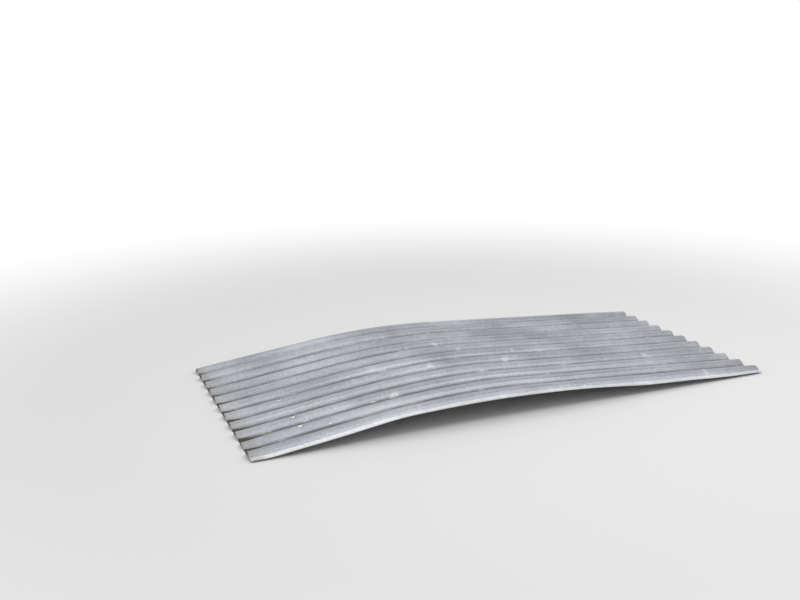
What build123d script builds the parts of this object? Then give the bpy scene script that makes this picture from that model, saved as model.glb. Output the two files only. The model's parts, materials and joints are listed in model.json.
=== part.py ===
from build123d import *
import math
import os

# Rolled section: waves of equal arcs, with both long edges turned down
pitch = 76.2
depth = 17.6
sheet_thickness = 0.6
crest_count = 11

# Length along the sheet, and the bend that it has taken near its drooping end
sheet_length = 1800
drooping_leg = 395
bend_length = 533
bend_radius = 2800

# Rows of fixing holes through the crests, which are counted from the near edge
hole_diameter = 6.5
row_to_end = 175
row_count = 3
first_fixed_crest_number = 3
fixed_crest_step_count = 2

# One more crest is fixed in the row at the drooping end
extra_fixed_crest_number = 2

# The waves' middle line
sheet_width = crest_count * pitch
wave_rise = (depth - sheet_thickness) / 2
wave_radius = (wave_rise**2 + (pitch / 4) ** 2) / (2 * wave_rise)
flank_angle = math.degrees(math.asin(pitch / 4 / wave_radius))

# The bent sheet's run, with its drooping leg level
bend = bend_length / bend_radius
straight_leg = sheet_length - drooping_leg - bend_length
run = drooping_leg + bend_radius * math.sin(bend) + straight_leg * math.cos(bend)
fall = bend_radius * (1 - math.cos(bend)) + straight_leg * math.sin(bend)

# At rest the sheet stands on the lower corners of its two ends
half_depth = depth / 2
rest_slope = math.atan2(
    fall - half_depth * (1 - math.cos(bend)), run - half_depth * math.sin(bend)
)
far_top_x = run * math.cos(rest_slope) + fall * math.sin(rest_slope)
far_top_x += half_depth * math.sin(bend - rest_slope)
near_top_x = -half_depth * math.sin(rest_slope)
drooping_end = Plane(
    origin=(-(near_top_x + far_top_x) / 2, 0, half_depth * math.cos(rest_slope)),
    x_dir=(math.cos(rest_slope), 0, math.sin(rest_slope)),
    z_dir=(-math.sin(rest_slope), 0, math.cos(rest_slope)),
)


def place_on_sheet(distance):
    """Plane on the middle of the sheet's depth, this far from the drooping end, with x along the sheet."""
    turned = min(max(distance - drooping_leg, 0), bend_length) / bend_radius
    past_bend = max(distance - drooping_leg - bend_length, 0)
    forward = min(distance, drooping_leg) + bend_radius * math.sin(turned)
    forward += past_bend * math.cos(turned)
    down = bend_radius * (1 - math.cos(turned)) + past_bend * math.sin(turned)
    return Plane(drooping_end * Location((forward, 0, -down), (0, math.degrees(turned), 0)))


def crest_y(number):
    """Place across the sheet of a crest, counted from the near edge."""
    return (number - (crest_count + 1) / 2) * pitch


def row_distance(row):
    """Distance of a row of holes from the drooping end, with the last row as far from the other end."""
    return row_to_end + row * (sheet_length - 2 * row_to_end) / (row_count - 1)


bend_start = place_on_sheet(drooping_leg)
bend_centre = bend_start.origin - bend_start.z_dir * bend_radius
section_plane = Plane(bend_start.origin, x_dir=(0, 1, 0), z_dir=bend_start.x_dir)

with BuildPart() as corrugated_sheet:
    with BuildSketch(section_plane) as section:
        with BuildLine():
            for surface in (sheet_thickness / 2, -sheet_thickness / 2):
                for crest in range(1, crest_count + 1):
                    CenterArc(
                        (crest_y(crest), wave_rise - wave_radius),
                        wave_radius + surface,
                        90 - flank_angle,
                        2 * flank_angle,
                    )
                for valley in range(1, crest_count):
                    CenterArc(
                        (crest_y(valley + 0.5), wave_radius - wave_rise),
                        wave_radius - surface,
                        -90 - flank_angle,
                        2 * flank_angle,
                    )
                for edge, turn in ((-sheet_width / 2, flank_angle), (sheet_width / 2, -flank_angle)):
                    CenterArc((edge, wave_radius - wave_rise), wave_radius - surface, -90, turn)
            for edge in (-sheet_width / 2, sheet_width / 2):
                Line((edge, -half_depth), (edge, sheet_thickness - half_depth))
        make_face()
    extrude(amount=-drooping_leg)
    revolve(
        section.sketch,
        axis=Axis(bend_centre, (0, 1, 0)),
        revolution_arc=math.degrees(bend),
    )
    extrude(faces().sort_by(Axis.X)[-1], amount=straight_leg)

    for row in range(row_count):
        fixed_crests = list(range(first_fixed_crest_number, crest_count, fixed_crest_step_count))
        if row == 0:
            fixed_crests.append(extra_fixed_crest_number)
        with BuildSketch(place_on_sheet(row_distance(row))):
            with Locations([(0, crest_y(crest)) for crest in fixed_crests]):
                Circle(hole_diameter / 2)
        extrude(amount=depth, mode=Mode.SUBTRACT)

corrugated_sheet.part.label = "corrugated_sheet"
os.makedirs("parts", exist_ok=True)
export_step(corrugated_sheet.part, "parts/corrugated_sheet.step")
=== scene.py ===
"""A bent and weathered sheet of galvanised corrugated steel, on a pale studio floor."""

import json
import math

import bmesh
import bpy
from bmesh.types import BMEdge, BMVert
from bpy.props import FloatProperty, FloatVectorProperty, IntProperty, PointerProperty
from mathutils import Matrix, Vector, noise


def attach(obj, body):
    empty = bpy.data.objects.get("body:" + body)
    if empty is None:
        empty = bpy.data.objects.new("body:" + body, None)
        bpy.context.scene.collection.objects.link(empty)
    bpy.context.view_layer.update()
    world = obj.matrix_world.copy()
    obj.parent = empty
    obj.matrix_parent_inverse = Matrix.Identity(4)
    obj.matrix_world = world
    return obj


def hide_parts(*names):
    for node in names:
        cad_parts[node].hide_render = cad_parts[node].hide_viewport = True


bl_info = {
    "name": "Corrugated metal sheet",
    "version": (1, 0, 0),
    "blender": (4, 5, 0),
    "location": "3D View > Sidebar > Sheet",
    "description": "Adds a bent and weathered sheet of corrugated steel, and a studio for it",
    "category": "Add Mesh",
}

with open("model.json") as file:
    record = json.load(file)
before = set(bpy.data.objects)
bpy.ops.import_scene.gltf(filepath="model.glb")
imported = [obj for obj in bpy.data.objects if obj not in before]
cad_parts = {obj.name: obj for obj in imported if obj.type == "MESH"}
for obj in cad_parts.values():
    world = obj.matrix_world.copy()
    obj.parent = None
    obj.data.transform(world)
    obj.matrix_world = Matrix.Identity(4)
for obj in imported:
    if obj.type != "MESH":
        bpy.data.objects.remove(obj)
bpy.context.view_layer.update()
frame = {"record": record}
RECORD = frame["record"]
FIRST_ROW = next(mount for mount in RECORD["mounts"] if mount["name"] == "drooping_end_inner_fixings")

# Crests with a hole in each row, and the one that has a hole only in the drooping end's row
FIXED_CRESTS = (3, 5, 7, 9)
EXTRA_FIXED_CREST = 2

# Attributes of the mesh: place along and across the flat blank, height in the wave, distance from a hole
LAYERS = ("along", "across", "wave", "to_hole")

# Mesh steps along the sheet and over a quarter of a wave, and the distance within which points are merged
STATIONS = 150
QUARTER_STEPS = 5
MERGED_WITHIN = 0.00006

# Zones of ever finer mesh round a hole: reach, cuts and whether only the lengthwise edges are cut
DRILLED_ZONES = ((0.028, 2, True), (0.020, 1, False), (0.011, 1, False))

# Distance from a hole's middle within which its making has moved the metal
TO_HOLE_LIMIT = 0.03

# Dished crest round a hole
DISH_DEPTH = 0.0010
DISH_REACH = 0.012

# Lip of a hole: reach, two heights, and the crests of the drooping end's row that have the higher one
LIP_REACH = 0.0026
LOW_LIP = 0.0006
HIGH_LIP = 0.0032
HIGH_LIPPED_CRESTS = (2, 3)

# Unevenness of the lips: share of their height, fineness, and how far apart in the noise the holes lie
LIP_UNEVENNESS = 0.5
LIP_FINENESS = 1.7
LIP_VARIETY = 90

# Lifts of the near edge from its line: distance from the drooping end, height and reach along the edge
EDGE_LIFTS = (
    (0.0, 0.006, 0.035),
    (0.45, 0.0035, 0.12),
    (1.06, 0.004, 0.14),
    (1.34, -0.003, 0.12),
    (1.8, 0.006, 0.10),
)

# Reach of those lifts in from the edge
EDGE_LIFT_WIDTH = 0.03

# Dents: distance from the drooping end, crest, height, reach along and reach across
DENTS = (
    (0.0, 2, -0.0045, 0.07, 0.020),
    (0.425, 2.4, -0.0015, 0.022, 0.008),
)

# Distance at which a lift or a dent ends, in reaches
PUSH_END = 3

# Unevenness all over: amount, waves a metre along and across, and its slice of the noise
SLOW_UNEVENNESS = (0.0015, 3.1, 4.3, 0.7)
QUICK_UNEVENNESS = (0.0004, 11.0, 26.0, 5.2)
SIDE_UNEVENNESS = (0.0015, 4.0, 6.0, 9.1)

# Power with which the sideways unevenness fades out at the two long edges
SIDE_FADE = 8

# Places of the finishes in the piece's list
TOP, UNDERSIDE, SHEARED = range(3)

# A face whose normal rises or falls by less than this is a cut edge
CUT_EDGE_RISE = 0.3

# The photograph's camera: its place in metres and its angles in degrees
CAMERA_PLACE = (-1.391, -2.717, 1.082)
CAMERA_YAW = 22.25
CAMERA_PITCH = 15.06
CAMERA_ROLL = 0.6

# Its focal length and the picture's width in pixels, and the sensor's width in millimetres
FOCAL_PIXELS = 918
IMAGE_WIDTH = 800
SENSOR_WIDTH = 36

# Floor's size, its outline's segments, and the distances between which it fades to white
FLOOR_RADIUS = 14
FLOOR_SEGMENTS = 96
FLOOR_FADE = (1.2, 3.2)

# Softboxes: place, then length and width
FRONT_PLACE = (1.1, -1.35, 2.9)
FRONT_SIZE = (4.6, 1.3)
OVERHEAD_PLACE = (-0.4, 0.9, 3.2)
OVERHEAD_SIZE = (2.5, 2.0)

WHITE = (1, 1, 1, 1)


def length(name, description, default):
    """A size in metres, as a property."""
    return FloatProperty(name=name, description=description, default=default, unit="LENGTH", precision=4)


def colour(name, description, default):
    """A linear colour, as a property."""
    return FloatVectorProperty(name=name, description=description, default=default, subtype="COLOR", size=3)


def power(name, description, default):
    """A lamp's power, as a property."""
    return FloatProperty(name=name, description=description, default=default, unit="POWER")


class SheetSizes(bpy.types.PropertyGroup):
    """Sizes of the rolled, drilled and bent sheet."""

    pitch: length("Pitch", "Distance from one crest to the next", 0.0762)
    depth: length("Depth", "Height of the rolled section, with the metal", 0.0176)
    thickness: length("Thickness", "Thickness of the metal", 0.0006)
    crest_count: IntProperty(name="Crests", description="Number of crests across the sheet", default=11)
    sheet_length: length("Length", "Length along the sheet", 1.8)
    drooping_leg: length("Drooping leg", "Straight stretch before the bend", 0.395)
    bend_length: length("Bend length", "Length of sheet that the bend takes up", 0.533)
    bend_radius: length("Bend radius", "Radius of the bend, at the middle of the depth", 2.8)
    row_to_end: length("Row to end", "Distance of the outer rows of holes from the sheet's ends", 0.175)
    hole_radius: length("Hole radius", "Radius of a fixing hole", FIRST_ROW["dims"]["hole_r_mm"] / 1000)

    @property
    def width(self):
        """Width of the sheet from edge to edge."""
        return self.crest_count * self.pitch

    @property
    def rise(self):
        """Height of the metal's middle line at a crest above the middle of the depth."""
        return (self.depth - self.thickness) / 2

    @property
    def wave_radius(self):
        """Radius of the arcs that make up the wave."""
        return (self.rise**2 + (self.pitch / 4) ** 2) / (2 * self.rise)

    @property
    def flank_angle(self):
        """Slope of the steepest metal, half way up a flank."""
        return math.asin(self.pitch / 4 / self.wave_radius)

    @property
    def metal_per_wave(self):
        """Width of flat metal that one wave takes up."""
        return 4 * self.wave_radius * self.flank_angle

    @property
    def metal_width(self):
        """Width of the flat blank that the sheet was rolled from."""
        return self.crest_count * self.metal_per_wave

    def crest_y(self, number):
        """Place across the sheet of a crest, counted from the near edge."""
        return (number - (self.crest_count + 1) / 2) * self.pitch

    def height_at(self, y):
        """Height of the section's middle line at this place across the sheet."""
        half_waves = round((y + self.width / 2) / (self.pitch / 2))
        offset = y + self.width / 2 - half_waves * self.pitch / 2
        side = 1 if half_waves % 2 else -1
        return side * (self.rise - self.wave_radius + math.sqrt(self.wave_radius**2 - offset**2))

    def place(self, distance):
        """Matrix of the sheet's own axes this far from the drooping end: X along it and Z up from it."""
        up = Vector(FIRST_ROW["axis"])
        along = Vector((up.z, 0, -up.x))
        end = Vector(FIRST_ROW["pos_m"]) - up * self.rise - along * self.row_to_end
        leg = Matrix((along, (0, 1, 0), up)).transposed().to_4x4()
        turned = min(max(distance - self.drooping_leg, 0), self.bend_length) / self.bend_radius
        past_bend = max(distance - self.drooping_leg - self.bend_length, 0)
        forward = min(distance, self.drooping_leg) + self.bend_radius * math.sin(turned)
        forward += past_bend * math.cos(turned)
        down = self.bend_radius * (1 - math.cos(turned)) + past_bend * math.sin(turned)
        bent = Matrix.Translation((forward, 0, -down)) @ Matrix.Rotation(turned, 4, "Y")
        return Matrix.Translation(end) @ leg @ bent

    def up_at(self, distance):
        """Direction up from the sheet this far from the drooping end."""
        return self.place(distance).col[2].to_3d()

    def holes(self):
        """Distance from the drooping end and crest of each fixing hole."""
        rows = (self.row_to_end, self.sheet_length / 2, self.sheet_length - self.row_to_end)
        holes = [(row, crest) for row in rows for crest in FIXED_CRESTS]
        return holes + [(self.row_to_end, EXTRA_FIXED_CREST)]

    def hole_axis(self, distance, crest):
        """Middle of a fixing hole, and the direction up along it."""
        return self.place(distance) @ Vector((0, self.crest_y(crest), self.rise)), self.up_at(distance)


class SheetColours(bpy.types.PropertyGroup):
    """Colours of the zinc and of what the weather left on it."""

    zinc: colour("Zinc", "Clean part of the coating", RECORD["materials"][0]["base_color"])
    dull_zinc: colour("Dull zinc", "Weathered part of the coating", (0.22, 0.233, 0.254))
    # Colour of cleaner zinc that is also a painted highlight, brighter than the zinc, along the near edge
    clean_and_highlit_zinc: colour("Clean zinc", "Strip that the weather hardly reached", (0.75, 0.765, 0.78))
    bloom: colour("Bloom", "White corrosion of the coating", (0.70, 0.71, 0.72))
    # Colour of dust and dirt that in the valleys is also painted shade
    grime_and_shade: colour("Grime", "Dust and dirt in the valleys", (0.13, 0.125, 0.115))
    # Near-black colour in the valleys near the drooping end
    end_valley_dark: colour("Silt", "Dark dirt washed down to the drooping end", (0.045, 0.040, 0.032))
    stain: colour("Stain", "Film of dried mud at the drooping end", (0.33, 0.31, 0.265))
    bare_steel: colour("Bare steel", "Sheared edges", (0.30, 0.29, 0.28))
    floor: colour("Floor", "Studio floor", (0.83, 0.83, 0.83))


class StudioSettings(bpy.types.PropertyGroup):
    """Levels of the studio's lamps."""

    front_power: power("Front light", "Power of the front softbox", 32)
    overhead_power: power("Overhead light", "Power of the overhead softbox", 8)
    ambient: FloatProperty(name="Ambient", description="Strength of the room's light", default=0.7, min=0)


def of_kind(geom, kind):
    """Those parts of a mesh operator's result that are of one kind."""
    return [part for part in geom if isinstance(part, kind)]


def roll_section(bm, sizes):
    """Rolls the waves' middle line across the sheet: one wave by three spins, then its copies."""
    near_edge = -sizes.width / 2
    tip = bm.verts.new((0, near_edge, -sizes.rise))
    # Each arc has its centre across the wave, above or below the metal, and its quarters of the wave
    for centre, side, quarters in ((0, 1, 1), (sizes.pitch / 2, -1, 2), (sizes.pitch, 1, 1)):
        turned = bmesh.ops.spin(
            bm,
            geom=[tip],
            cent=(0, near_edge + centre, side * (sizes.wave_radius - sizes.rise)),
            axis=(1, 0, 0),
            angle=side * quarters * sizes.flank_angle,
            steps=quarters * QUARTER_STEPS,
        )
        tip = of_kind(turned["geom_last"], BMVert)[0]
    wave = bm.verts[:] + bm.edges[:]
    for crest in range(1, sizes.crest_count):
        copy = bmesh.ops.duplicate(bm, geom=wave)["geom"]
        bmesh.ops.translate(bm, vec=(0, crest * sizes.pitch, 0), verts=of_kind(copy, BMVert))
    bmesh.ops.remove_doubles(bm, verts=bm.verts, dist=MERGED_WITHIN)


def mark_section(bm, layers):
    """Writes on each point of the section its distance over the metal from the near edge."""
    points = sorted(bm.verts, key=lambda point: point.co.y)
    across = 0
    for before, point in zip(points, points[1:]):
        across += (point.co - before.co).length
        point[layers["across"]] = across


def draw_out(bm, sizes, layers):
    """Draws the section out along the bent line, station by station."""
    stations = [sizes.sheet_length * step / STATIONS for step in range(STATIONS + 1)]
    bmesh.ops.transform(bm, matrix=sizes.place(0), verts=bm.verts)
    front = bm.edges[:]
    for here, there in zip(stations, stations[1:]):
        grown = bmesh.ops.extrude_edge_only(bm, edges=front)["geom"]
        points = of_kind(grown, BMVert)
        bmesh.ops.transform(bm, matrix=sizes.place(there) @ sizes.place(here).inverted(), verts=points)
        for point in points:
            point[layers["along"]] = there
        moved = set(points)
        front = [edge for edge in of_kind(grown, BMEdge) if moved.issuperset(edge.verts)]
    bmesh.ops.recalc_face_normals(bm, faces=bm.faces)
    if bm.faces[0].normal.z < 0:
        bmesh.ops.reverse_faces(bm, faces=bm.faces)


def faces_near(bm, middle, reach):
    """Faces with their own middles within reach of a place."""
    return [face for face in bm.faces if (face.calc_center_median() - middle).length < reach]


def off_axis(place, middle, up):
    """Offset of a place from a hole's axis."""
    offset = place - middle
    return offset - up * offset.dot(up)


def is_lengthwise(edge, along):
    """Whether an edge goes from one station to another."""
    first, last = edge.verts
    return first[along] != last[along]


def refine(bm, sizes, layers, zone, cuts, lengthwise):
    """Divides the edges of a zone's faces, and puts the new points back on the round of their wave."""
    edges = {edge for face in zone for edge in face.edges}
    if lengthwise:
        edges = {edge for edge in edges if is_lengthwise(edge, layers["along"])}
    divided = bmesh.ops.subdivide_edges(bm, edges=list(edges), cuts=cuts, use_grid_fill=True)
    for point in of_kind(divided["geom_inner"], BMVert):
        y = point.co.y
        point.co = sizes.place(point[layers["along"]]) @ Vector((0, y, sizes.height_at(y)))


def drill(bm, sizes, layers, distance, crest):
    """Divides the mesh ever finer around a fixing hole, and cuts the hole to a true circle."""
    middle, up = sizes.hole_axis(distance, crest)
    for reach, cuts, lengthwise in DRILLED_ZONES:
        refine(bm, sizes, layers, faces_near(bm, middle, reach), cuts, lengthwise)
    waste = []
    for face in faces_near(bm, middle, 2 * sizes.hole_radius):
        if off_axis(face.calc_center_median(), middle, up).length < sizes.hole_radius:
            waste.append(face)
    rim = {point for face in waste for point in face.verts}
    bmesh.ops.delete(bm, geom=waste, context="FACES")
    for point in rim:
        if point.is_valid:
            offset = off_axis(point.co, middle, up)
            point.co += offset * (sizes.hole_radius / offset.length - 1)


def bell(off):
    """Share of a push that is left this far off, in reaches."""
    return math.exp(-(off**2))


def work_metal_round_hole(bm, sizes, layers, distance, crest, lip):
    """Dishes the crest where its screw was driven, and turns up the hole's lip."""
    middle, up = sizes.hole_axis(distance, crest)
    for point in bm.verts:
        offset = point.co - middle
        if offset.length > TO_HOLE_LIMIT:
            continue
        away = off_axis(point.co, middle, up).length
        point[layers["to_hole"]] = min(away, point[layers["to_hole"]])
        torn = noise.noise(offset.normalized() * LIP_FINENESS + middle * LIP_VARIETY)
        raised = lip * (1 + LIP_UNEVENNESS * torn) * bell((away - sizes.hole_radius) / LIP_REACH)
        point.co += up * (raised - DISH_DEPTH * bell(away / DISH_REACH))


def push(bm, sizes, layers, distance, y, lift, reach_along, reach_across):
    """Lifts the metal, or presses it where lift is negative, around one place."""
    up = sizes.up_at(distance)
    for point in bm.verts:
        off_along = (point[layers["along"]] - distance) / reach_along
        off_across = (point.co.y - y) / reach_across
        off = math.hypot(off_along, off_across)
        if off < PUSH_END:
            point.co += up * lift * bell(off)


def unevenness(along, y, amount, waves_along, waves_across, slice_of_noise):
    """How far the metal is off its true place here."""
    return amount * noise.noise(Vector((along * waves_along, y * waves_across, slice_of_noise)))


def make_uneven(bm, sizes, layers):
    """Gives the whole sheet the slight unevenness of rolled metal that has been handled."""
    for point in bm.verts:
        along, y = point[layers["along"]], point.co.y
        upwards = unevenness(along, y, *SLOW_UNEVENNESS) + unevenness(along, y, *QUICK_UNEVENNESS)
        sideways = unevenness(along, y, *SIDE_UNEVENNESS) * (1 - (2 * y / sizes.width) ** SIDE_FADE)
        point.co += sizes.up_at(along) * upwards
        point.co.y += sideways


def damage(bm, sizes, layers):
    """Works the metal round the holes, lifts the near edge, dents the sheet and makes it uneven."""
    for point in bm.verts:
        point[layers["to_hole"]] = TO_HOLE_LIMIT
    for distance, crest in sizes.holes():
        high = distance == sizes.row_to_end and crest in HIGH_LIPPED_CRESTS
        work_metal_round_hole(bm, sizes, layers, distance, crest, HIGH_LIP if high else LOW_LIP)
    for distance, lift, reach in EDGE_LIFTS:
        push(bm, sizes, layers, distance, -sizes.width / 2, lift, reach, EDGE_LIFT_WIDTH)
    for distance, crest, lift, reach_along, reach_across in DENTS:
        push(bm, sizes, layers, distance, sizes.crest_y(crest), lift, reach_along, reach_across)
    make_uneven(bm, sizes, layers)


def thicken(bm, sizes):
    """Gives the sheet its metal, half on each side of the middle line, and keeps it above the floor."""
    for point in bm.verts:
        point.co += point.normal * (sizes.thickness / 2)
    bmesh.ops.solidify(bm, geom=bm.faces[:], thickness=sizes.thickness)
    for point in bm.verts:
        point.co.z = max(point.co.z, 0)


def finish_of(face):
    """Place of a face's finish in the piece's list, by the way that the face points."""
    if face.normal.z > CUT_EDGE_RISE:
        return TOP
    if face.normal.z < -CUT_EDGE_RISE:
        return UNDERSIDE
    return SHEARED


def assign_finishes(bm):
    """Gives each face its finish, and makes an edge sharp where two finishes meet."""
    for face in bm.faces:
        face.smooth = True
        face.normal_update()
        face.material_index = finish_of(face)
    for edge in bm.edges:
        edge.smooth = len({face.material_index for face in edge.link_faces}) == 1


def mark_waves(bm, sizes, layers):
    """Writes on each point its height in its wave: 1 on a crest and -1 in a valley."""
    for point in bm.verts:
        waves = (point.co.y + sizes.width / 2) / sizes.pitch
        point[layers["wave"]] = -math.cos(math.tau * waves)


def add_object(name, bm, finishes):
    """Puts a finished mesh in the scene."""
    mesh = bpy.data.meshes.new(name)
    bm.to_mesh(mesh)
    bm.free()
    for finish in finishes:
        mesh.materials.append(finish)
    made = bpy.data.objects.new(name, mesh)
    bpy.context.scene.collection.objects.link(made)
    return made


def add_sheet(sizes, finishes):
    """Rolls, drills and damages the sheet, and puts it in the scene as one piece."""
    bm = bmesh.new()
    layers = {name: bm.verts.layers.float.new(name) for name in LAYERS}
    roll_section(bm, sizes)
    mark_section(bm, layers)
    draw_out(bm, sizes, layers)
    for distance, crest in sizes.holes():
        drill(bm, sizes, layers, distance, crest)
    damage(bm, sizes, layers)
    thicken(bm, sizes)
    assign_finishes(bm)
    mark_waves(bm, sizes, layers)
    return add_object("corrugated_sheet_weathered", bm, finishes)


class Wire:
    """A node's output, with which shader maths is written as plain maths."""

    def __init__(self, finish, socket):
        self.finish = finish
        self.socket = socket

    def math(self, operation, *others):
        """One Math node, with this value as its first."""
        values = dict(enumerate((self, *others)))
        return self.finish.node("ShaderNodeMath", {"operation": operation}, values)

    def __add__(self, other):
        return self.math("ADD", other)

    def __sub__(self, other):
        return self.math("SUBTRACT", other)

    def __rsub__(self, other):
        """The other value less this one, as this one times -1 plus the other."""
        return self.math("MULTIPLY_ADD", -1, other)

    def __mul__(self, other):
        return self.math("MULTIPLY", other)

    __radd__ = __add__
    __rmul__ = __mul__

    @property
    def swing(self):
        """How far this value, which lies between 0 and 1, is from its middle."""
        return self - 0.5

    def ramp(self, zero_at, one_at):
        """A smooth ramp from 0 at the first value to 1 at the second, and level beyond them."""
        settings = {"interpolation_type": "SMOOTHSTEP"}
        inputs = {"Value": self, "From Min": zero_at, "From Max": one_at}
        return self.finish.node("ShaderNodeMapRange", settings, inputs)

    def output(self, name):
        """Another output of the same node."""
        return Wire(self.finish, self.socket.node.outputs[name])


# Sockets of a Mix node that are for colours
COLOUR_A, COLOUR_B, COLOUR_RESULT = 6, 7, 2


class Finish:
    """The nodes of a material or a world, and the patterns that its recipes mix."""

    def __init__(self, owner):
        owner.use_nodes = True
        self.owner = owner
        self.tree = owner.node_tree
        self.tree.nodes.clear()
        self.patterns = {"everywhere": 1.0}

    def node(self, kind, settings=None, inputs=None, output=0):
        """Adds a node with its settings, then its sockets' values or links, and gives one output."""
        made = self.tree.nodes.new(kind)
        for name, value in (settings or {}).items():
            setattr(made, name, value)
        for name, value in (inputs or {}).items():
            if isinstance(value, Wire):
                self.tree.links.new(value.socket, made.inputs[name])
            else:
                made.inputs[name].default_value = value
        return Wire(self, made.outputs[output]) if made.outputs else None

    def attribute(self, name):
        """What the mesh says of each point under this name."""
        return self.node("ShaderNodeAttribute", {"attribute_name": name}, output="Fac")

    def vector(self, operation, *vectors):
        """One Vector Math node that gives a vector."""
        return self.node("ShaderNodeVectorMath", {"operation": operation}, dict(enumerate(vectors)))

    def vector_length(self, vector):
        """Length of a vector."""
        return self.node("ShaderNodeVectorMath", {"operation": "LENGTH"}, {0: vector}, output="Value")

    def noise(self, vector, waves, detail, roughness):
        """Noise from 0 to 1, with so many waves a metre along each axis."""
        stretched = self.vector("MULTIPLY", vector, waves)
        inputs = {"Vector": stretched, "Scale": 1.0, "Detail": detail, "Roughness": roughness}
        return self.node("ShaderNodeTexNoise", None, inputs)

    def cells(self, vector, per_metre):
        """Distance to the nearest of many scattered middles, as a share of their spacing."""
        inputs = {"Vector": vector, "Scale": per_metre}
        return self.node("ShaderNodeTexVoronoi", None, inputs, output="Distance")

    def lot(self, cells):
        """A number drawn for each cell. The node's other outputs hold two more."""
        return self.node("ShaderNodeSeparateColor", None, {0: cells.output("Color")})

    def mixed(self, share, first, second):
        """The first colour where share is 0, and the second where it is 1."""
        inputs = {0: share, COLOUR_A: first, COLOUR_B: second}
        return self.node("ShaderNodeMix", {"data_type": "RGBA"}, inputs, output=COLOUR_RESULT)

    def weighed(self, recipe):
        """Sum of a recipe's patterns by their weights. A pattern that the finish lacks counts as 0."""
        return sum(weight * self.patterns.get(name, 0) for name, weight in recipe.items())

    def spread(self, recipe, zero_at, one_at):
        """Share, from 0 to 1, of what sets in as a recipe's sum goes from one value to another."""
        return self.weighed(recipe).ramp(zero_at, one_at)

    def surface(self, tone, roughness, metallic, relief, bump):
        """Ends a material with its surface, and returns it."""
        normal = self.node("ShaderNodeBump", None, {**bump, "Height": relief})
        inputs = {"Base Color": tone, "Roughness": roughness, "Metallic": metallic, "Normal": normal}
        shader = self.node("ShaderNodeBsdfPrincipled", None, inputs)
        self.node("ShaderNodeOutputMaterial", None, {"Surface": shader})
        return self.owner


def rgba(value):
    """A colour as a socket takes it."""
    return (*value, 1.0)


# Size of the zinc's crystals, how far their outlines wander, and the noise that they follow
SPANGLE_SIZE = 0.007
SPANGLE_WARP = (0.012, 0.012, 0.012)
SPANGLE_NOISE = ((70, 70, 1), 2.0, 0.5)

# Width of the feathers in a crystal, how far they stray in radians, and the noise that they follow
FEATHER_WIDTH = 0.0013
FEATHER_STRAY = 5.0
FEATHER_NOISE = ((160, 160, 1), 2.0, 0.5)

# Noises on the blank: waves a metre along and across (the third axis is empty), detail and roughness
BLANK_NOISES = {
    "cloud": ((3.6, 3.6, 1), 4.0, 0.55),
    "rolling": ((0.9, 150, 1), 3.0, 0.5),
    "grain": ((1100, 1100, 1), 2.0, 0.5),
    "blotches": ((17, 17, 1), 6.0, 0.62),
    "trickles": ((170, 9, 1), 3.0, 0.5),
    "drift": ((6, 34, 1), 6.0, 0.65),
    "dust": ((380, 380, 1), 4.0, 0.7),
    "scrapes": ((5, 760, 1), 1.0, 0.5),
    "scraped_patches": ((8, 8, 1), 2.0, 0.5),
}

# Parts of a wave: a recipe of patterns with their weights, and the sums at which the share is 0 and 1
VALLEY = ({"wave": -1.0}, 0.15, 1.0)
CREST = ({"wave": 1.0}, 0.35, 0.95)

# The flanks are what the valleys and the crests leave of a wave
FLANK = {"everywhere": 1.0, "valley": -1.0, "crest": -1.0}

# Distances from a long edge between which dust begins to settle
BORDER = (0.012, 0.030)

# What lies on the zinc: recipes, and the sums at which the share is 0 and 1
BLOOM = ({"blotches": 1.0, "valley": 0.09, "cloud": 0.10}, 0.11, 0.24)
# Settled dust darkens the valleys both as dust and as painted shade
SETTLED_DUST_AND_SHADE = ({"valley": 0.46, "drift": 1.0, "dust": 0.5}, 0.08, 0.62)
WATER_RUNS = ({"trickles": 1.0}, 0.05, 0.25)
SCRATCH_LINES = ({"scrapes": 1.0}, 0.18, 0.24)
SCRATCHED_PATCHES = ({"scraped_patches": 1.0}, -0.04, 0.10)
# The strip along the near edge is cleaner zinc and, by its brightness, a painted highlight
CLEAN_AND_HIGHLIT_STRIP = ({"across": 1.0, "drift": 0.008, "dust": 0.005}, 0.019, 0.012)
MUD_FILM = ({"along": 1.0, "blotches": 0.14}, 0.060, 0.004)
# Near-black in the valleys, fading out within a few centimetres of the drooping end
END_VALLEY_DARK = ({"drift": 0.8, "dust": 0.6, "wave": -1.0, "along": -11.0}, 0.15, 0.55)

# Print of a washer and the ring of dirt round it, by a ragged distance from the hole
FROM_HOLE = {"to_hole": 1.0, "dust": 0.0050}
UNDER_WASHER = (FROM_HOLE, 0.0092, 0.0076)
RING_INSIDE = (FROM_HOLE, 0.0080, 0.0092)
RING_OUTSIDE = (FROM_HOLE, 0.0125, 0.0094)

# Recipes for how thick the grime, which in the valleys is also painted shade, and the mud film are
GRIME_AND_SHADE = {"settled_dust_and_shade": 1.0, "water_runs": 0.14}
FILM_THICKNESS = {"everywhere": 0.32, "dust": 0.7}

# Specks: cells a metre, shares of a cell at which one ends and is whole, and the lots that give a cell one
SPECK_CELLS = 24
SPECK_EDGE = (0.038, 0.020)
SPECK_LOTS = (0.70, 0.72)

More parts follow.
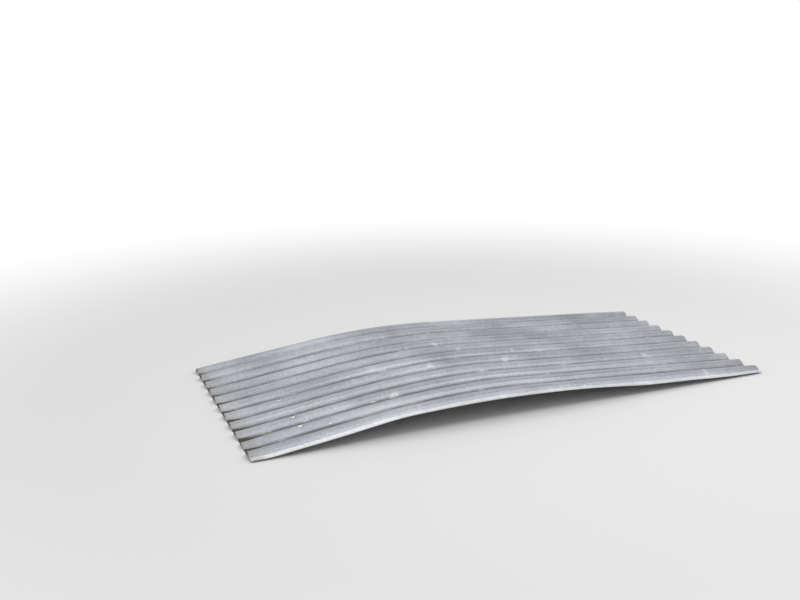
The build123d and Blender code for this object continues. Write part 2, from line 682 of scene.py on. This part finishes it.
# Coats over the zinc from the lowest up: pattern, colour and recipe for its strength
COATS = (
    # The strip's bright zinc is partly a painted highlight
    ("clean_and_highlit_strip", "clean_and_highlit_zinc", {"everywhere": 0.74, "cloud": 0.4, "facet": 0.18}),
    ("bloom", "bloom", {"everywhere": 1.0}),
    # Grime in the valleys is dust and painted shade
    ("grime_and_shade", "grime_and_shade", {"everywhere": 1.0}),
    ("scratches", "bloom", {"everywhere": 0.5}),
    ("specks", "grime_and_shade", {"everywhere": 0.7}),
    ("under_washer", "bloom", {"everywhere": 0.55, "dust": 0.7}),
    ("washer_ring", "grime_and_shade", {"everywhere": 0.6}),
    ("mud_film", "stain", {"everywhere": 1.0}),
    ("end_valley_dark", "end_valley_dark", {"everywhere": 0.92, "dust": 0.6}),
)

# Marks: distance from the drooping end, waves from the near edge, reach along and across, and colour
MARKS = (
    (0.235, 1.50, 0.0050, 0.0040, "grime_and_shade"),
    (0.262, 1.21, 0.0055, 0.0035, "zinc"),
    (0.425, 2.14, 0.0190, 0.0035, "bloom"),
    (0.007, 0.22, 0.0035, 0.0035, "grime_and_shade"),
)

# A mark's raggedness and its noise, the reaches at which it ends and is whole, and its strength
MARK_RAGGEDNESS = 0.8
MARK_NOISE = ((300, 300, 1), 2.0, 0.5)
MARK_EDGE = (1.0, 0.2)
MARK_STRENGTH = 0.6

# Shade of the zinc between dull and clean, with painted shade that darkens the valleys and lightens the
# crests, and how far what lies on it hides its gloss
SHADE = (
    {
        "everywhere": 0.31,
        "dulling": -1.0,
        "cloud": 0.9,
        "facet": 0.14,
        "rolling": 0.45,
        "feather": 0.02,
        # Painted shade: the valleys darker and the crests lighter
        "wave": 0.15,
    },
    0,
    1,
)
HIDDEN = ({"bloom": 0.7, "grime_and_shade": 1.0, "specks": 1.0, "end_valley_dark": 1.0, "mud_film": 1.0}, 0, 1)

# Recipes of the galvanised surface, and how strongly its relief shows
ROUGHNESS = {
    "everywhere": 0.39,
    "dulling": 0.3,
    "cloud": 0.12,
    "facet": 0.06,
    "hidden": 0.36,
    "scratches": -0.08,
}
METALLIC = {"everywhere": 0.94, "hidden": -0.72}
ZINC_RELIEF = {"facet": 0.17, "feather": 0.01, "rolling": 0.45, "grain": 0.15}
COAT_RELIEF = {"bloom": 0.5, "grime_and_shade": 0.3, "end_valley_dark": 0.8, "scratches": -0.5}
ZINC_BUMP = {"Strength": 0.30, "Distance": 0.0004}


class GalvanisedFace(Finish):
    """One face of the sheet.

    Its patterns lie on the flat blank, so they follow the metal round its waves.
    """

    def __init__(self, name, colours, sizes, dulling):
        super().__init__(bpy.data.materials.new(name))
        self.colours = colours
        self.sizes = sizes
        patterns = self.patterns
        patterns["dulling"] = dulling
        for layer in LAYERS:
            patterns[layer] = self.attribute(layer)
        blank_axes = {"X": patterns["along"], "Y": patterns["across"]}
        self.blank = self.node("ShaderNodeCombineXYZ", None, blank_axes)
        for pattern, numbers in BLANK_NOISES.items():
            patterns[pattern] = self.noise(self.blank, *numbers).swing
        patterns["valley"] = self.spread(*VALLEY)
        patterns["crest"] = self.spread(*CREST)
        patterns["flank"] = self.weighed(FLANK)
        patterns["inside_border"] = self.inside_border()
        patterns["facet"], patterns["feather"] = self.spangle()

    def inside_border(self):
        """0 along both long edges, where nothing settles, and 1 further in."""
        across = self.patterns["across"]
        return across.ramp(*BORDER) * (self.sizes.metal_width - across).ramp(*BORDER)

    def spangle(self):
        """The zinc's crystals: a shade drawn for each, and feathers in a direction of its own."""
        wander = self.noise(self.blank, *SPANGLE_NOISE).output("Color")
        warped = self.vector("MULTIPLY_ADD", wander, SPANGLE_WARP, self.blank)
        shade = self.lot(self.cells(warped, 1 / SPANGLE_SIZE))
        angle = shade.output("Green") * math.tau
        along, across = self.patterns["along"], self.patterns["across"]
        run = along * angle.math("COSINE") + across * angle.math("SINE")
        stray = self.noise(self.blank, *FEATHER_NOISE) * FEATHER_STRAY
        feather = (run * (math.tau / FEATHER_WIDTH) + stray).math("SINE")
        return shade.swing, feather

    def add_weathering(self, grime_and_shade_share, bloom_share):
        """Adds what both faces have: bloom, grime that in the valleys is also painted shade, scratches,
        specks and the washers' prints.
        """
        patterns = self.patterns
        patterns["bloom"] = self.spread(*BLOOM) * bloom_share
        patterns["settled_dust_and_shade"] = self.spread(*SETTLED_DUST_AND_SHADE) * patterns["inside_border"]
        patterns["water_runs"] = self.spread(*WATER_RUNS) * patterns["flank"]
        patterns["grime_and_shade"] = self.weighed(GRIME_AND_SHADE) * grime_and_shade_share
        scratches = self.spread(*SCRATCH_LINES) * self.spread(*SCRATCHED_PATCHES)
        patterns["scratches"] = scratches * patterns["crest"]
        spots = self.cells(self.blank, SPECK_CELLS)
        patterns["specks"] = spots.ramp(*SPECK_EDGE) * self.lot(spots).ramp(*SPECK_LOTS)
        patterns["under_washer"] = self.spread(*UNDER_WASHER)
        patterns["washer_ring"] = self.spread(*RING_INSIDE) * self.spread(*RING_OUTSIDE)

    def add_top_weathering(self):
        """Adds what only the top has: the clean strip along the near edge, partly a painted highlight, the
        mud film, and the near-black valleys at the drooping end.
        """
        patterns = self.patterns
        patterns["clean_and_highlit_strip"] = self.spread(*CLEAN_AND_HIGHLIT_STRIP)
        patterns["mud_film"] = self.spread(*MUD_FILM) * self.weighed(FILM_THICKNESS)
        patterns["end_valley_dark"] = self.spread(*END_VALLEY_DARK) * patterns["inside_border"]

    def covered(self, tone, share, colour_name):
        """The tone with a share of one of the sheet's colours over it."""
        return self.mixed(share, tone, rgba(getattr(self.colours, colour_name)))

    def zinc_and_coats(self):
        """Colour of the zinc with its coats over it."""
        tone = self.mixed(self.spread(*SHADE), rgba(self.colours.dull_zinc), rgba(self.colours.zinc))
        for pattern, colour_name, strength in COATS:
            if pattern in self.patterns:
                tone = self.covered(tone, self.patterns[pattern] * self.weighed(strength), colour_name)
        return tone

    def marked(self, tone, marks):
        """The colour with marks on it, each with a ragged edge."""
        ragged = self.noise(self.blank, *MARK_NOISE).swing * MARK_RAGGEDNESS
        for distance, waves, reach_along, reach_across, colour_name in marks:
            middle = (distance, waves * self.sizes.metal_per_wave, 0)
            offset = self.vector("SUBTRACT", self.blank, middle)
            away = self.vector_length(self.vector("DIVIDE", offset, (reach_along, reach_across, 1)))
            tone = self.covered(tone, (away + ragged).ramp(*MARK_EDGE) * MARK_STRENGTH, colour_name)
        return tone

    def finished(self, tone):
        """Ends the material with its colour and with the gloss and relief that its patterns give."""
        self.patterns["hidden"] = self.spread(*HIDDEN)
        relief = self.weighed(ZINC_RELIEF) + self.weighed(COAT_RELIEF)
        return self.surface(tone, self.weighed(ROUGHNESS), self.weighed(METALLIC), relief, ZINC_BUMP)


def galvanised_top(colours, sizes):
    """Zinc that faced the weather."""
    face = GalvanisedFace("galvanised_top", colours, sizes, dulling=0.0)
    # The top's grime share darkens its valleys, partly as painted shade
    face.add_weathering(grime_and_shade_share=0.92, bloom_share=0.6)
    face.add_top_weathering()
    return face.finished(face.marked(face.zinc_and_coats(), MARKS))


def galvanised_underside(colours, sizes):
    """Zinc that lay face down: duller and with more bloom, but with less grime."""
    face = GalvanisedFace("galvanised_underside", colours, sizes, dulling=0.25)
    face.add_weathering(grime_and_shade_share=0.35, bloom_share=0.9)
    return face.finished(face.zinc_and_coats())


# Noises on sheared steel: waves a metre along each axis, detail and roughness
STEEL_NOISES = {
    "shear_lines": ((700, 700, 90), 3.0, 0.5),
    "patches": ((30, 30, 30), 4.0, 0.5),
}

# Recipes of the sheared surface, and how strongly its relief shows
ZINC_OVER_STEEL = ({"shear_lines": 0.5, "patches": 0.5}, -0.2, 0.2)
STEEL_ROUGHNESS = {"everywhere": 0.575, "patches": 0.25}
STEEL_METALLIC = {"everywhere": 0.7, "patches": -0.4}
STEEL_BUMP = {"Strength": 0.4, "Distance": 0.0002}


def sheared_steel(colours):
    """The sheet's cut edges and holes, where the zinc covers the steel thinly."""
    finish = Finish(bpy.data.materials.new("sheared_steel"))
    place = finish.node("ShaderNodeTexCoord", output="Object")
    for pattern, numbers in STEEL_NOISES.items():
        finish.patterns[pattern] = finish.noise(place, *numbers).swing
    share = finish.spread(*ZINC_OVER_STEEL)
    tone = finish.mixed(share, rgba(colours.bare_steel), rgba(colours.dull_zinc))
    roughness, metallic = finish.weighed(STEEL_ROUGHNESS), finish.weighed(STEEL_METALLIC)
    return finish.surface(tone, roughness, metallic, finish.patterns["shear_lines"], STEEL_BUMP)


class SHEET_OT_add_sheet(bpy.types.Operator):
    """Add the bent corrugated sheet with its zinc and its weathering"""

    bl_idname = "sheet.add_sheet"
    bl_label = "Add corrugated sheet"

    def execute(self, context):
        colours, sizes = context.scene.sheet_colours, context.scene.sheet_sizes
        top, underside = galvanised_top(colours, sizes), galvanised_underside(colours, sizes)
        sheet = add_sheet(sizes, [top, underside, sheared_steel(colours)])
        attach(sheet, "root")
        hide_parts("corrugated_sheet")
        return {"FINISHED"}


def floor_finish(colours):
    """Matt paint that fades to the background's white away from the sheet."""
    finish = Finish(bpy.data.materials.new("studio_floor"))
    distance = finish.vector_length(finish.node("ShaderNodeTexCoord", output="Object"))
    paint = {"Base Color": rgba(colours.floor), "Roughness": 1.0, "Specular IOR Level": 0.0}
    matt = finish.node("ShaderNodeBsdfPrincipled", None, paint)
    white = finish.node("ShaderNodeEmission", None, {"Color": WHITE, "Strength": 1.0})
    fade = distance.ramp(*FLOOR_FADE)
    shader = finish.node("ShaderNodeMixShader", None, {0: fade, 1: matt, 2: white})
    finish.node("ShaderNodeOutputMaterial", None, {"Surface": shader})
    return finish.owner


def add_floor(colours):
    """A wide round floor under the sheet."""
    bm = bmesh.new()
    bmesh.ops.create_circle(bm, cap_ends=True, segments=FLOOR_SEGMENTS, radius=FLOOR_RADIUS)
    floor = add_object("studio_floor", bm, [floor_finish(colours)])


def add_softbox(name, place, size, watts):
    """A lamp with a broad face, its long side along the waves, turned to the sheet's middle line."""
    lamp = bpy.data.lights.new(name, "AREA")
    lamp.shape = "RECTANGLE"
    lamp.size, lamp.size_y = size
    lamp.energy = watts
    softbox = bpy.data.objects.new(name, lamp)
    softbox.location = place
    softbox.rotation_euler.x = math.atan2(-place[1], place[2])
    bpy.context.scene.collection.objects.link(softbox)


def set_world(ambient):
    """White behind the object and in its reflections, and a plain soft light from all round."""
    world = bpy.data.worlds.new("studio")
    finish = Finish(world)
    rays = finish.node("ShaderNodeLightPath", output="Is Camera Ray")
    seen = rays + rays.output("Is Glossy Ray") + rays.output("Is Transmission Ray")
    room = finish.node("ShaderNodeBackground", None, {"Color": WHITE, "Strength": ambient})
    white = finish.node("ShaderNodeBackground", None, {"Color": WHITE, "Strength": 1.0})
    shader = finish.node("ShaderNodeMixShader", None, {0: seen, 1: room, 2: white})
    finish.node("ShaderNodeOutputWorld", None, {"Surface": shader})
    bpy.context.scene.world = world


def add_camera():
    """The photograph's camera: its place, its heading and its lens."""
    lens = bpy.data.cameras.new("camera")
    lens.sensor_width = SENSOR_WIDTH
    lens.lens = FOCAL_PIXELS * SENSOR_WIDTH / IMAGE_WIDTH
    camera = bpy.data.objects.new("camera", lens)
    turn = Matrix.Rotation(-math.radians(CAMERA_YAW), 4, "Z")
    tilt = Matrix.Rotation(math.radians(90 - CAMERA_PITCH), 4, "X")
    roll = Matrix.Rotation(-math.radians(CAMERA_ROLL), 4, "Z")
    camera.matrix_world = Matrix.Translation(CAMERA_PLACE) @ turn @ tilt @ roll
    bpy.context.scene.collection.objects.link(camera)
    bpy.context.scene.camera = camera


class SHEET_OT_add_studio(bpy.types.Operator):
    """Add the pale floor, the soft lamps and the camera"""

    bl_idname = "sheet.add_studio"
    bl_label = "Add studio"

    def execute(self, context):
        scene = context.scene
        studio = scene.sheet_studio
        add_floor(scene.sheet_colours)
        add_softbox("front_softbox", FRONT_PLACE, FRONT_SIZE, studio.front_power)
        add_softbox("overhead_softbox", OVERHEAD_PLACE, OVERHEAD_SIZE, studio.overhead_power)
        set_world(studio.ambient)
        add_camera()
        scene.view_settings.view_transform = "Standard"
        return {"FINISHED"}


class SHEET_PT_sidebar(bpy.types.Panel):
    """Lists the sheet's sizes and colours, the studio's lamps, and the operators that add them"""

    bl_idname = "SHEET_PT_sidebar"
    bl_label = "Corrugated sheet"
    bl_space_type = "VIEW_3D"
    bl_region_type = "UI"
    bl_category = "Sheet"

    def draw(self, context):
        scene = context.scene
        for group in (scene.sheet_sizes, scene.sheet_colours, scene.sheet_studio):
            box = self.layout.box()
            for name in group.__annotations__:
                box.prop(group, name)
        for operator in (SHEET_OT_add_sheet, SHEET_OT_add_studio):
            self.layout.operator(operator.bl_idname)


CLASSES = (
    SheetSizes,
    SheetColours,
    StudioSettings,
    SHEET_OT_add_sheet,
    SHEET_OT_add_studio,
    SHEET_PT_sidebar,
)


def register():
    for made in CLASSES:
        bpy.utils.register_class(made)
    bpy.types.Scene.sheet_sizes = PointerProperty(type=SheetSizes)
    bpy.types.Scene.sheet_colours = PointerProperty(type=SheetColours)
    bpy.types.Scene.sheet_studio = PointerProperty(type=StudioSettings)


def unregister():
    del bpy.types.Scene.sheet_studio
    del bpy.types.Scene.sheet_colours
    del bpy.types.Scene.sheet_sizes
    for made in reversed(CLASSES):
        bpy.utils.unregister_class(made)


def main():
    """Adds the sheet and its studio."""
    register()
    bpy.ops.sheet.add_sheet()
    bpy.ops.sheet.add_studio()


if __name__ == "__main__":
    main()
